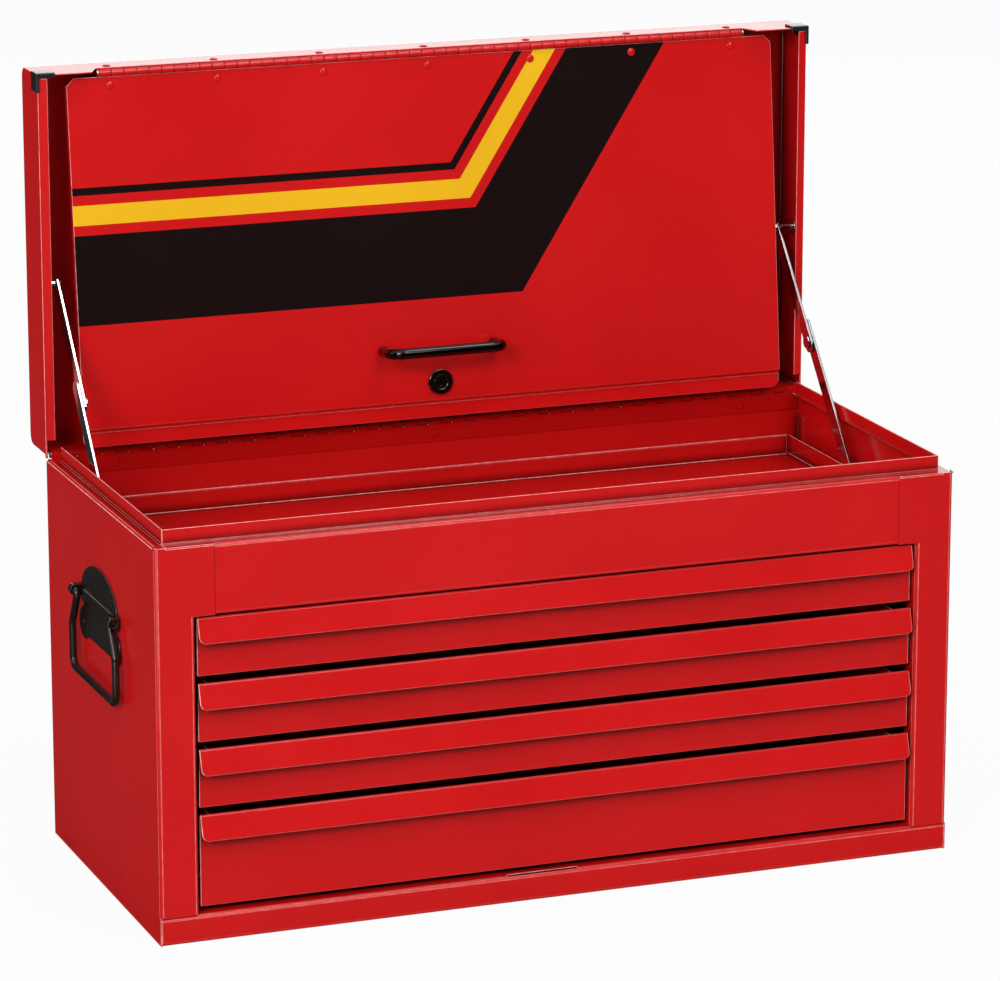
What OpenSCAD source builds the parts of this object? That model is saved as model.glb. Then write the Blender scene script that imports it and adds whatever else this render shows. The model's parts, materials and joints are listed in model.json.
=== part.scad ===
// Four-drawer steel tool chest with a lift-up lid and a drop-down front cover that
// stows flat inside the lid. Shown with the lid open and the cover leaning out of it.
// Millimetres. X is the width, the front faces -Y, +Z is up, the base rests on Z = 0.

/* [Cabinet] */
// Width over the side walls
cab_w = 660; // [600:5:760]
// Depth from the frame face to the back
cab_d = 294; // [280:2:340]
// Height of the shoulder under the closed lid
cab_h = 314; // [306:1:360]
// Thickness of the steel sheet
sheet = 1.2; // [0.9:0.1:1.4]
// Inside radius of the bends
bend_r = 1.6; // [1:0.1:2.4]
// Width of the stiles beside the drawers
stile_w = 31; // [28:1:42]
// Depth of the returns behind the stiles
stile_return = 16; // [14:1:24]
// Extra width of the stiles beside the fascia
stile_step = 16; // [8:1:20]
// Height of the fascia above the drawers
fascia_h = 55.5; // [53:0.5:64]
// Height of the apron below the drawers
apron_h = 22; // [16:1:24]
// Inset of the rim that stands up inside the lid
shoulder_w = 9; // [9:0.5:13]
// Height of that rim above the shoulder
upstand_h = 12; // [8:0.5:14]

/* [Till] */
// Depth of the till floor below the shoulder
till_drop = 52; // [46:0.5:52]
// Height of the pan walls
pan_wall_h = 16; // [13:0.5:20]

/* [Lid] */
// Height of the lid from its rim to its top
lid_h = 46; // [42:1:60]
// Gap between the closed lid and the shoulder
lid_gap = 2.5; // [2.5:0.1:4]
// Overhang of the lid in front of the frame face
lid_overhang = 13; // [12.5:0.1:16]
// Inside radius of the long top edges of the lid
lid_edge_r = 7; // [4:0.5:12]
// Width of the turned-in rim along the lid sides
rim_return = 7.5; // [6:0.1:7.5]
// Length of the plastic caps along the rim corners
cap_size = 14; // [12:1:22]

/* [Cover] */
// Length of the cover from its top edge to its bottom edge
cover_len = 295; // [276:1:296]
// Gap from each side of the cover to the outside of the lid
cover_inset = 27; // [26:0.5:32]
// Angle that the cover leans out of the open lid
cover_lean = 6; // [5.5:0.5:8]
// Height of the stepped-in strip along the cover bottom
cover_strip_h = 12; // [10:1:16]
// Depth of that step
cover_step = 2.5; // [2.5:0.1:3.4]
// Depth of the turned-in cover sides
cover_side = 5; // [4.6:0.1:6]

/* [Hinges] */
// Outside diameter of the hinge knuckles
knuckle_d = 5.4; // [5:0.1:6]
// Diameter of the hinge pins
pin_d = 3; // [2:0.1:3]
// Thickness of the hinge leaves
leaf_t = 1; // [0.8:0.1:1.2]
// Width of the hinge leaves
leaf_w = 14; // [11:1:18]
// Number of knuckles along the rear hinge
rear_knuckles = 61; // [41:2:65]
// Number of knuckles along the cover hinge
cover_knuckles = 53; // [41:2:57]

/* [Drawers] */
// Height from one shallow drawer to the next
drawer_pitch = 52; // [48:0.5:54]
// Open gap under each drawer front
front_gap = 5.5; // [4:0.5:10]
// Height of the slanted lips
lip_h = 19.6; // [16:0.2:24]
// Reach of the lips in front of the drawer faces
lip_reach = 8; // [6.5:0.1:9]
// Recess of the drawer faces behind the frame face
front_recess = 5; // [4.5:0.1:6]
// Gap between the drawer fronts and the stiles
front_side_gap = 2.7; // [2.4:0.1:6]
// Width of the slide beside each tray
slide_w = 12.5; // [12:0.1:15]
// Depth of the trays
tray_d = 258; // [220:2:262]

/* [Handles] */
// Distance between the pull handle screws
pull_pitch = 96; // [80:1:128]
// Diameter of the pull handle bar
pull_bar_d = 9; // [7:0.5:10]
// Reach of the pull handle from the cover
pull_reach = 31; // [26:0.5:34]
// Distance of the pull handle below the cover hinge
pull_drop = 240; // [200:1:244]
// Distance of the lock below the cover hinge
lock_drop = 268.5; // [266:0.5:270]
// Diameter of the lock bezel
bezel_d = 21; // [20:0.5:24]
// Width of the side handle plates
plate_w = 111; // [100:1:120]
// Height of the side handle plates above the pivots
plate_rise = 29; // [27:1:33]
// Depth of the side handle plates below the pivots
plate_drop = 38; // [32:1:42]
// Distance of the side handle pivots below the shoulder
handle_drop = 82; // [70:1:110]
// Drop of the bail bar below its pivots
bail_drop = 64; // [55:1:75]
// Diameter of the bail bar
bail_bar_d = 6; // [5.5:0.5:8]

/* [Stays] */
// Distance of the stay studs from the rear hinge
stay_arm = 135.5; // [125:0.5:140]
// Height of the stay studs above the lid rim
stay_rise = 19; // [16:0.5:20]
// Length of the lower links as a share of the straight stay
stay_split = 0.545; // [0.535:0.005:0.55]
// Width of the stay links
link_w = 13; // [12:0.5:14]

/* [Hidden] */
$fn = 48;
bend_steps = 5;
touch_gap = 0.3;
hole_ease = 0.05;
hx = cab_w / 2;
front_y = -cab_d / 2;
back_y = cab_d / 2;
wall_x = hx - sheet;
upstand_x = hx - shoulder_w;
open_x = hx - stile_w;
open_top = cab_h - fascia_h;
apron_return = 14;
fascia_x = open_x - stile_step;
upstand_end = 12;
back_flange = 12;
back_flange_stop = 20;

// Till pan, dropped in through the rim
pan_ease = 0.4;
pan_slot = 2.2;
pan_bead_r = 0.9;
pan_x = upstand_x - sheet - pan_ease;
pan_front = front_y + shoulder_w + sheet + pan_ease;
pan_back = back_y - sheet - leaf_t - pan_ease;
floor_z = cab_h - till_drop;

// Rear hinge axis and lid
knuckle_r = knuckle_d / 2;
pin_r = pin_d / 2;
pin_ease = 0.06;
neck_gap = 0.2;
leaf_start = knuckle_r + neck_gap;
// Edge of a leaf, just clear of the other leaf's knuckles
leaf_edge = sqrt(pow(leaf_start, 2) - pow(knuckle_r - leaf_t, 2));
knuckle_gap = 0.4;
rear_y = back_y - sheet - leaf_t + knuckle_r;
rim_z = cab_h + lid_gap;
rear_hinge_rise = 0.5;
rear_z = rim_z + rear_hinge_rise;
lid_front = front_y - lid_overhang;
lid_top = rim_z + lid_h;
rear_hinge_inset = 4;
rear_hinge_x = hx - rear_hinge_inset;
rim_end = 12;
rim_dip = 1.7;
lid_ear_r = knuckle_r - touch_gap;
cap_wall = 1.6;
cap_lip = 2.8;
// Cover hinge axis with the lid closed
cover_y = lid_front + sheet + knuckle_r;
upstand_clear = 0.8;
cover_z = cab_h + upstand_h + knuckle_r + upstand_clear;
cover_hinge_inset = 53;
cover_hinge_x = hx - cover_hinge_inset;
notch_slope = 9;
// The same axis with the lid open
cover_open_y = rear_y + cover_z - rear_z;
cover_open_z = rear_z + rear_y - cover_y;
// Cover sheet, measured from its hinge axis
cover_face = knuckle_r - leaf_t - sheet;
cover_back = cover_face + sheet;
cover_x = hx - cover_inset;
cover_end = leaf_start + cover_len;
cover_corner_r = 7;
cover_chamfer = 6;
// Overrun of the cuts through the cover on each side
cut_run = 16;
rivet_r = 1.6;
rivet_head_r = 3.4;
rivet_head_h = 1.1;
rivet_end = 10;
rivet_pitch = (cover_hinge_x - rivet_end) / 3;
rear_rivet_end = 53;
rear_rivet_pitch = rear_hinge_x - rear_rivet_end;
leaf_rivet = leaf_start + 7;

// Drawers, counted from the top
front_top = open_top - 2;
front_floor = apron_h + 5;
front_x = open_x - front_side_gap;
face_y = front_y + front_recess;
front_back = face_y + sheet;
hem_r = 0.4;
lip_top_w = 3.6;
lip_corner_r = 5;
tray_t = 1;
tray_x = open_x - slide_w;
tray_ease = 1.5;
rail_h = 22;
rail_play = 0.4;
rail_start = 1.3;
rail_end_gap = 12;
post_w = 20;
function top_of(i) = front_top - i * drawer_pitch;
function floor_of(i) = i == 3 ? front_floor : top_of(i + 1) + front_gap;
function rail_of(i) = (top_of(i) + floor_of(i)) / 2 - 2;

// Pull handle and lock on the cover
pull_r = pull_bar_d / 2;
pull_bend_r = 11;
screw_r = 2;
screw_head_r = 4;
screw_head_h = 2.2;
screw_depth = 9;
bezel_r = bezel_d / 2;
bezel_h = 3;
lock_body_r = 8;
plug_r = 5.5;
lock_ease = 0.08;
lock_rear = lid_overhang - knuckle_r;
cam_t = 1.6;
cam_w = 12;
cam_gap = 1.5;
cam_start = lock_rear + cam_gap;
cam_len = 46;
slot_ease = 1;
cam_hang_y = cover_y + cam_start;
nut_t = 3.5;
nut_r = 11;

// Side handles
plate_t = 1.5;
ear_r = 4.5;
ear_len = 6;
ear_lap = 1;
ear_start = plate_w / 2 - ear_len;
ear_bore = 2.6;
ear_ease = 0.1;
bail_z = cab_h - handle_drop;
bail_r = bail_bar_d / 2;
bail_bend_r = 9;
bail_x = hx + plate_t + ear_r;
bail_leg_y = plate_w / 2 + touch_gap + bail_r;
bail_top_y = ear_start - bail_bar_d - 1.5;
bail_knee_drop = 28;
bend_swell = 0.2;
plate_rib_y = bail_top_y - bail_r - 2;
plate_rib_r = 4;
plate_lobe_r = 13;
plate_lobe_y = plate_w / 2 - plate_lobe_r;
plate_low = bail_z - plate_drop;
skirt_rise = 4;
arch_inset = 6;
brow_h = 8;
pin_inset = 2;

// Stays
link_t = 2;
lower_tail = 14;
upper_tail = 3;
link_r = link_w / 2;
stud_r = 3;
stud_head_r = 6;
stud_head_h = 1.4;
elbow_head_r = 5.5;
stud_ease = 0.1;
collar_r = 5;
lower_out = pan_x - sheet - 1.5;
lower_in = lower_out - link_t;
upper_out = lower_in - 0.5;
upper_in = upper_out - link_t;
foot = [rear_y - stay_arm, floor_z + link_r + 1.5];
lid_stud_closed = [rear_y - stay_arm, rim_z + stay_rise];
lid_stud = [rear_y + lid_stud_closed[1] - rear_z, rear_z + stay_arm];
stay_len = norm(lid_stud - foot);
lower_len = stay_len * stay_split;
elbow = foot + (lid_stud - foot) * stay_split;

red = [0.70, 0.07, 0.07];
dark_red = [0.55, 0.06, 0.05];
black = [0.09, 0.08, 0.07];
steel = [0.72, 0.72, 0.74];
dark_chrome = [0.22, 0.21, 0.21];

// Profile of a bent sheet
// path is one face of the sheet, and the thickness grows to the left of the way along it
function unit(v) = v / norm(v);
function left_of(v) = [-v[1], v[0]];
function sign_of(a) = a < 0 ? -1 : 1;
function way(path, i) = unit(path[i + 1] - path[i]);
function turn_at(path, i) = let (a = way(path, i - 1), b = way(path, i)) atan2(cross(a, b), a * b);
function bend_points(path, i, t, r, off) = let (
    a = way(path, i - 1),
    b = way(path, i),
    angle = turn_at(path, i),
    s = sign_of(angle),
    face_r = s > 0 ? r + t : r,
    centre = path[i] + s * face_r / cos(angle / 2) * unit(left_of(a) + left_of(b)),
    heading = atan2(a[1], a[0]))
    [for (k = [0 : bend_steps]) let (h = heading + angle * k / bend_steps)
        centre - s * (face_r - s * off) * [-sin(h), cos(h)]];
function sheet_face(path, t, r, off) = let (n = len(path) - 1) concat(
    [path[0] + off * left_of(way(path, 0))],
    [for (i = [1 : 1 : n - 1]) each bend_points(path, i, t, r, off)],
    [path[n] + off * left_of(way(path, n - 1))]);
function reversed(list) = [for (i = [len(list) - 1 : -1 : 0]) list[i]];
function sheet_outline(path, t, r) = concat(sheet_face(path, t, r, 0), reversed(sheet_face(path, t, r, t)));

// Straight runs of a profile along one axis
module run_x(from, to) { translate([from, 0, 0]) rotate([90, 0, 90]) linear_extrude(to - from) children(); }
module run_y(from, to) { translate([0, to, 0]) rotate([90, 0, 0]) linear_extrude(to - from) children(); }
module run_z(from, to) { translate([0, 0, from]) linear_extrude(to - from) children(); }
module block(low, high) { translate(low) cube(high - low); }
module rod_x(r, from, to, y, z) { translate([from, y, z]) rotate([0, 90, 0]) cylinder(r = r, h = to - from); }
module rod_y(r, from, to, x, z) { translate([x, to, z]) rotate([90, 0, 0]) cylinder(r = r, h = to - from); }
module both_sides() {
    children();
    mirror([1, 0, 0]) children();
}
module front_and_back() {
    children();
    mirror([0, 1, 0]) children();
}
// Hand of a pair, modelled on the right
module hand(left) { mirror([left ? 1 : 0, 0, 0]) children(); }

// The lid is modelled closed and swung open about the rear hinge
module lid_open() {
    translate([0, rear_y, rear_z]) rotate([-90, 0, 0]) translate([0, -rear_y, -rear_z]) children();
}
// The cover is modelled hanging from the origin with its face towards -Y
module cover_rest() {
    translate([0, cover_open_y, cover_open_z]) rotate([-cover_lean, 0, 0]) children();
}

// Cabinet walls
module side_wall(left) {
    wall = [hx, back_y];
    corner = [hx, front_y];
    bend_end = front_y + sheet + bend_r;
    leaf_front = back_y - sheet - leaf_t - touch_gap;
    color(red) hand(left) difference() {
        union() {
            block([wall_x, front_y, 0], [hx, back_y, apron_h + touch_gap]);
            run_z(apron_h + touch_gap, open_top)
                polygon(sheet_outline(
                    [[open_x, front_y + stile_return], [open_x, front_y], corner, wall], sheet, bend_r));
            run_z(open_top, cab_h - sheet)
                polygon(sheet_outline([[fascia_x, front_y], corner, wall], sheet, bend_r));
            run_z(cab_h - sheet, cab_h)
                polygon(concat(
                    sheet_face([[upstand_x, front_y], corner, [hx, bend_end]], sheet, bend_r, 0),
                    [[upstand_x, bend_end]]));
            run_y(bend_end, leaf_front)
                polygon(sheet_outline([[hx, open_top], [hx, cab_h], [upstand_x, cab_h]], sheet, bend_r));
            run_y(front_y + shoulder_w + sheet + touch_gap, back_y - upstand_end)
                polygon(sheet_outline(
                    [[hx, open_top], [hx, cab_h], [upstand_x, cab_h], [upstand_x, cab_h + upstand_h]],
                    sheet, bend_r));
        }
        handle_holes();
    }
}
module side_left() { side_wall(true); }
module side_right() { side_wall(false); }

module back_panel() {
    color(dark_red) difference() {
        union() {
            block([-wall_x, back_y - sheet, 0], [wall_x, back_y, rear_z - leaf_start]);
            both_sides() block([wall_x - sheet, back_y - back_flange, sheet],
                [wall_x, back_y - sheet, cab_h - back_flange_stop]);
        }
        rear_rivet_holes(-1);
    }
}

module base_pan() {
    flange_h = 12;
    front = [[front_y + apron_return, apron_h], [front_y, apron_h], [front_y, 0], [back_y - sheet, 0]];
    color(red) {
        difference() {
            run_x(-wall_x, wall_x) polygon(sheet_outline(front, sheet, bend_r));
            block([-cam_len, cam_hang_y - slot_ease, apron_h - 2 * sheet],
                [cam_w, cam_hang_y + cam_t + slot_ease, apron_h + 1]);
        }
        block([-open_x, back_y - 2 * sheet, 0], [open_x, back_y - sheet, flange_h]);
    }
}

module fascia() {
    tab_w = 11;
    tab_gap = 4;
    tab_end = 1;
    shoulder = [[front_y + shoulder_w, cab_h + upstand_h], [front_y + shoulder_w, cab_h], [front_y, cab_h]];
    return_d = 10;
    color(red) {
        run_x(-fascia_x + touch_gap, fascia_x - touch_gap)
            polygon(sheet_outline(
                concat(shoulder, [[front_y, open_top], [front_y + return_d, open_top]]), sheet, bend_r));
        both_sides() {
            run_x(fascia_x - touch_gap, upstand_x) polygon(sheet_outline(shoulder, sheet, bend_r));
            block([fascia_x - tab_w, front_y + sheet, open_top + tab_gap],
                [open_x - tab_end, front_y + 2 * sheet, cab_h - sheet - tab_gap]);
        }
    }
}

// Till floor
module till_pan() {
    wall_top = floor_z + pan_wall_h;
    inner_x = pan_x - sheet;
    color(dark_red) {
        difference() {
            block([-pan_x, pan_front, floor_z - sheet], [pan_x, pan_back, wall_top]);
            block([-inner_x, pan_front + sheet, floor_z], [inner_x, pan_back - sheet, wall_top + 1]);
            both_sides() {
                rod_x(stud_r + hole_ease, pan_x - 2 * sheet, pan_x + sheet, foot[0], foot[1]);
                block([inner_x - pan_slot, pan_back - 2 * sheet, floor_z],
                    [inner_x, pan_back + 1, wall_top + 1]);
            }
        }
        rod_x(pan_bead_r, pan_slot - inner_x, inner_x - pan_slot, pan_back - sheet / 2, wall_top);
    }
}

module till_ledge(left) {
    leg_h = 14;
    leg_w = 24;
    top = floor_z - sheet;
    color(dark_red) hand(left)
        run_y(front_y + stile_return + 6, back_y - 14)
            polygon(sheet_outline(
                [[wall_x, top - leg_h], [wall_x, top], [wall_x - leg_w, top]], sheet, bend_r));
}
module till_ledge_left() { till_ledge(true); }
module till_ledge_right() { till_ledge(false); }

// Drawer slides
module rear_post(left) {
    face = back_y - sheet;
    color(dark_red) hand(left)
        run_z(sheet, open_top - 2)
            polygon(sheet_outline(
                [[open_x + post_w, face], [open_x, face], [open_x, face - post_w]], sheet, bend_r));
}
module rear_post_left() { rear_post(true); }
module rear_post_right() { rear_post(false); }

module fixed_rails(i) {
    half = rail_h / 2;
    tip = open_x - slide_w + rail_start;
    color(steel) both_sides()
        translate([0, 0, rail_of(i)])
            run_y(front_back + rail_start, back_y - rail_end_gap)
                polygon(sheet_outline(
                    [[tip, -half], [open_x, -half], [open_x, half], [tip, half]], sheet, hem_r));
}
module fixed_rails_1() { fixed_rails(0); }
module fixed_rails_2() { fixed_rails(1); }
module fixed_rails_3() { fixed_rails(2); }
module fixed_rails_4() { fixed_rails(3); }

module drawer_rails(i) {
    half = rail_h / 2 - sheet - rail_play;
    tip = open_x - sheet - rail_start;
    color(steel) both_sides()
        translate([0, 0, rail_of(i)])
            run_y(front_back + 4, front_back + tray_d)
                polygon(sheet_outline(
                    [[tip, half], [tray_x, half], [tray_x, -half], [tip, -half]], sheet, hem_r));
}
module drawer_rails_1() { drawer_rails(0); }
module drawer_rails_2() { drawer_rails(1); }
module drawer_rails_3() { drawer_rails(2); }
module drawer_rails_4() { drawer_rails(3); }

// Drawers
module drawer_tray(i) {
    low = floor_of(i) + tray_ease;
    high = top_of(i) - 2 * tray_ease;
    color(red) difference() {
        block([-tray_x, front_back, low], [tray_x, front_back + tray_d, high]);
        block([-tray_x + tray_t, front_back + tray_t, low + tray_t],
            [tray_x - tray_t, front_back + tray_d - tray_t, high + 1]);
    }
}
module drawer_tray_1() { drawer_tray(0); }
module drawer_tray_2() { drawer_tray(1); }
module drawer_tray_3() { drawer_tray(2); }
module drawer_tray_4() { drawer_tray(3); }

module drawer_front(i) {
    top = top_of(i);
    lip_low = top - lip_h;
    color(red) difference() {
        run_x(-front_x, front_x)
            polygon(sheet_outline(
                [[front_back, floor_of(i)], [front_back, top], [front_back - lip_top_w, top],
                 [face_y - lip_reach, lip_low]], sheet, hem_r));
        both_sides() difference() {
            block([front_x - lip_corner_r, face_y - lip_reach - 1, lip_low - 1],
                [front_x + 1, face_y - 1, lip_low + lip_corner_r]);
            rod_y(lip_corner_r, face_y - lip_reach - 2, face_y,
                front_x - lip_corner_r, lip_low + lip_corner_r);
        }
    }
}
module drawer_front_1() { drawer_front(0); }
module drawer_front_2() { drawer_front(1); }
module drawer_front_3() { drawer_front(2); }
module drawer_front_4() { drawer_front(3); }

// Side handles
module handle_holes() {
    for (y = [-plate_lobe_y, plate_lobe_y])
        rod_x(rivet_r + hole_ease, wall_x - 1, hx + plate_t + 1, y, plate_low + plate_lobe_r);
}

module handle_plate(left) {
    arch_w = plate_w / 2 - arch_inset;
    arch = [for (a = [0 : 9 : 180]) [arch_w * cos(a), bail_z + plate_rise * sin(a)]];
    skirt_low = plate_low + skirt_rise;
    color(black) hand(left) difference() {
        union() {
            run_x(hx, hx + plate_t) {
                polygon(arch);
                translate([-plate_lobe_y, skirt_low]) square([2 * plate_lobe_y, bail_z - skirt_low]);
                translate([-arch_w, bail_z - brow_h]) square([2 * arch_w, brow_h]);
                for (y = [-plate_lobe_y, plate_lobe_y])
                    translate([y, plate_low + plate_lobe_r]) circle(plate_lobe_r);
            }
            intersection() {
                rod_y(plate_rib_r, -plate_rib_y, plate_rib_y, hx + plate_t, bail_z);
                block([hx, -plate_w, bail_z - plate_rise], [bail_x, plate_w, bail_z + plate_rise]);
            }
            front_and_back() {
                rod_y(ear_r, ear_start, plate_w / 2, bail_x, bail_z);
                block([hx, ear_start, bail_z - ear_r], [bail_x, plate_w / 2, bail_z + ear_r]);
                block([hx, ear_start - ear_lap, bail_z - ear_r], [hx + plate_t, plate_w / 2, bail_z]);
            }
        }
        rod_y(ear_bore + ear_ease, -plate_w, plate_w, bail_x, bail_z);
        handle_holes();
    }
}
module handle_plate_left() { handle_plate(true); }
module handle_plate_right() { handle_plate(false); }

module handle_rivets() {
    color(black) both_sides()
        for (y = [-plate_lobe_y, plate_lobe_y])
            translate([wall_x, y, plate_low + plate_lobe_r]) rotate([0, 90, 0]) rivet(sheet + plate_t);
}

module bail(left) {
    low = bail_z - bail_drop;
    flare_y = bail_leg_y - bail_top_y;
    flare = atan2(flare_y, bail_knee_drop);
    knee_z = bail_z - bail_knee_drop;
    color(black) hand(left) {
        front_and_back() {
            rod_y(ear_bore, bail_top_y, plate_w / 2 - pin_inset, bail_x, bail_z);
            translate([bail_x, bail_top_y, bail_z]) {
                sphere(bail_r + bend_swell);
                rotate([180 + flare, 0, 0]) cylinder(r = bail_r, h = norm([flare_y, bail_knee_drop]));
            }
            translate([bail_x, bail_leg_y, knee_z]) sphere(bail_r + bend_swell);
            translate([bail_x, bail_leg_y, low + bail_bend_r])
                cylinder(r = bail_r, h = knee_z - low - bail_bend_r);
            translate([bail_x, bail_leg_y - bail_bend_r, low + bail_bend_r])
                rotate([0, 90, 0]) rotate_extrude(angle = 90) translate([bail_bend_r, 0]) circle(bail_r);
        }
        rod_y(bail_r, -bail_leg_y + bail_bend_r, bail_leg_y - bail_bend_r, bail_x, low);
    }
}
module bail_left() { bail(true); }
module bail_right() { bail(false); }

// Rivet along +Z with its sheets between 0 and grip
module rivet(grip) {
    cylinder(r = rivet_r, h = grip);
    translate([0, 0, grip]) cylinder(r1 = rivet_head_r, r2 = rivet_head_r * 0.7, h = rivet_head_h);
    mirror([0, 0, 1]) cylinder(r1 = rivet_head_r, r2 = rivet_head_r * 0.7, h = rivet_head_h);
}

// Leaf of a long hinge about the X axis: the leaf lies above the axis, against the plane y = -knuckle_r
module hinge_leaf(half_w, count, first) {
    pitch = 2 * half_w / count;
    difference() {
        union() {
            block([-half_w, -knuckle_r, leaf_edge], [half_w, leaf_t - knuckle_r, leaf_start + leaf_w]);
            for (k = [first : 2 : count - 1]) {
                from = -half_w + k * pitch + knuckle_gap / 2;
                to = from + pitch - knuckle_gap;
                rod_x(knuckle_r, from, to, 0, 0);
                block([from, -knuckle_r, 0], [to, leaf_t - knuckle_r, leaf_start]);
            }
        }
        rod_x(pin_r + pin_ease, -half_w - 1, half_w + 1, 0, 0);
    }
}
module hinge_pin(half_w) {
    cap_h = 1;
    rod_x(pin_r, -half_w, half_w, 0, 0);
    for (s = [-1, 1])
        rod_x(knuckle_r - 0.4, s > 0 ? half_w : -half_w - cap_h, s > 0 ? half_w + cap_h : -half_w, 0, 0);
}

// Rear hinge
module rear_rivets_at() {
    for (k = [-1 : 1]) translate([k * rear_rivet_pitch, 0, 0]) children();
}
module rear_rivet_holes(side) {
    rear_rivets_at() rod_y(rivet_r + hole_ease, back_y - 4, back_y + 1, 0, rear_z + side * leaf_rivet);
}
module rear_rivets(side) {
    color(red) rear_rivets_at()
        translate([0, back_y - sheet - leaf_t, rear_z + side * leaf_rivet])
            rotate([-90, 0, 0]) rivet(sheet + leaf_t);
}

module rear_leaf_cabinet() {
    color(red) difference() {
        translate([0, rear_y, rear_z]) mirror([0, 0, 1]) hinge_leaf(rear_hinge_x, rear_knuckles, 0);
        rear_rivet_holes(-1);
    }
}
module rear_rivets_cabinet() { rear_rivets(-1); }
module rear_hinge_pin() {
    color(steel) translate([0, rear_y, rear_z]) hinge_pin(rear_hinge_x);
}
module rear_leaf_lid() {
    color(red) lid_open() difference() {
        translate([0, rear_y, rear_z]) hinge_leaf(rear_hinge_x, rear_knuckles, 1);
        rear_rivet_holes(1);
    }
}
module rear_rivets_lid() { lid_open() rear_rivets(1); }

// Lid
module lid_shell() {
    path = [[back_y, rear_z + leaf_start], [back_y, lid_top], [lid_front, lid_top], [lid_front, rim_z]];
    rim = concat(sheet_face(path, sheet, lid_edge_r, 0), [[rear_y, rim_z]]);
    inner = hx - rim_return;
    notch_top = cover_z + leaf_start;
    notch_low = cover_hinge_x + notch_slope;
    color(red) lid_open() difference() {
        union() {
            run_x(-wall_x, wall_x) polygon(sheet_outline(path, sheet, lid_edge_r));
            both_sides() {
                run_x(wall_x, hx) polygon(rim);
                rod_x(lid_ear_r, wall_x, hx, rear_y, rear_z);
                run_y(lid_front + cap_lip + touch_gap, back_y - rim_end)
                    polygon([[wall_x, rim_z], [wall_x, rim_z + sheet], [inner, rim_z + sheet - rim_dip],
                        [inner, rim_z - rim_dip]]);
            }
        }
        run_y(lid_front - 1, lid_front + sheet + 1)
            polygon([[-notch_low, rim_z - 1], [notch_low, rim_z - 1], [cover_hinge_x + 1, notch_top],
                [-cover_hinge_x - 1, notch_top]]);
        rear_rivet_holes(1);
        cover_rivets_at() rod_y(rivet_r + hole_ease, lid_front - 1, lid_front + 4, 0, cover_z + leaf_rivet);
    }
}

module lid_cap(left) {
    under = lid_gap - 0.5;
    low = rim_z - under;
    far = [lid_front + cap_size + 1, rim_z + cap_size + 1];
    color(black) lid_open() hand(left) difference() {
        block([hx - cap_size, lid_front - cap_wall, low],
            [hx + cap_wall, lid_front + cap_size, rim_z + cap_size]);
        block([hx - cap_size - 1, lid_front, rim_z], [hx, far[0], far[1]]);
        block([hx - cap_size - 1, lid_front + cap_lip, low - 1], [wall_x, far[0], far[1]]);
    }
}
module lid_cap_left() { lid_cap(true); }
module lid_cap_right() { lid_cap(false); }

// Cover hinge
module cover_rivets_at() {
    for (k = [-3 : 3]) translate([k * rivet_pitch, 0, 0]) children();
}
module cover_leaf_lid() {
    color(red) lid_open() difference() {
        translate([0, cover_y, cover_z]) hinge_leaf(cover_hinge_x, cover_knuckles, 0);
        cover_rivets_at() rod_y(rivet_r + hole_ease, lid_front - 1, lid_front + 4, 0, cover_z + leaf_rivet);
    }
}
module cover_hinge_pin() {
    color(steel) lid_open() translate([0, cover_y, cover_z]) hinge_pin(cover_hinge_x);
}
module cover_rivets_lid() {
    color(red) lid_open() cover_rivets_at()
        translate([0, lid_front, cover_z + leaf_rivet]) rotate([-90, 0, 0]) rivet(sheet + leaf_t);
}
module cover_leaf_panel() {
    color(red) cover_rest() difference() {
        rotate([180, 0, 0]) hinge_leaf(cover_hinge_x, cover_knuckles, 1);
        cover_rivets_at() rod_y(rivet_r + hole_ease, -1, knuckle_r + 1, 0, -leaf_rivet);
    }
}
module cover_rivets_panel() {
    color(red) cover_rest() cover_rivets_at()
        translate([0, cover_face, -leaf_rivet]) rotate([-90, 0, 0]) rivet(sheet + leaf_t);
}

// Cover
module cover_panel() {
    step_z = -cover_end + cover_strip_h;
    path = [[cover_face, -leaf_start], [cover_face, step_z + cover_step], [cover_face + cover_step, step_z],
        [cover_face + cover_step, -cover_end]];
    side_top = -leaf_start - cover_chamfer;
    color(red) cover_rest() difference() {
        union() {
            run_x(-cover_x, cover_x) polygon(sheet_outline(path, sheet, bend_r));
            both_sides() block([cover_x - sheet, cover_face, step_z + 2 * cover_step],
                [cover_x, cover_back + cover_side, side_top]);
        }
        both_sides() {
            translate([cover_x, 0, -leaf_start]) rotate([0, 45, 0])
                cube([cover_chamfer * sqrt(2), 2 * cut_run, cover_chamfer * sqrt(2)], center = true);
            difference() {
                block([cover_x - cover_corner_r, -cut_run, -cover_end - 1],
                    [cover_x + 1, cut_run, -cover_end + cover_corner_r]);
                rod_y(cover_corner_r, -cut_run - 1, cut_run + 1, cover_x - cover_corner_r,
                    -cover_end + cover_corner_r);
            }
            rod_y(screw_r + hole_ease, -cut_run, cut_run, pull_pitch / 2, -pull_drop);
        }
        rod_y(lock_body_r + hole_ease, -cut_run, cut_run, 0, -lock_drop);
        cover_rivets_at() rod_y(rivet_r + hole_ease, -1, knuckle_r + 1, 0, -leaf_rivet);
    }
}

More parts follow.
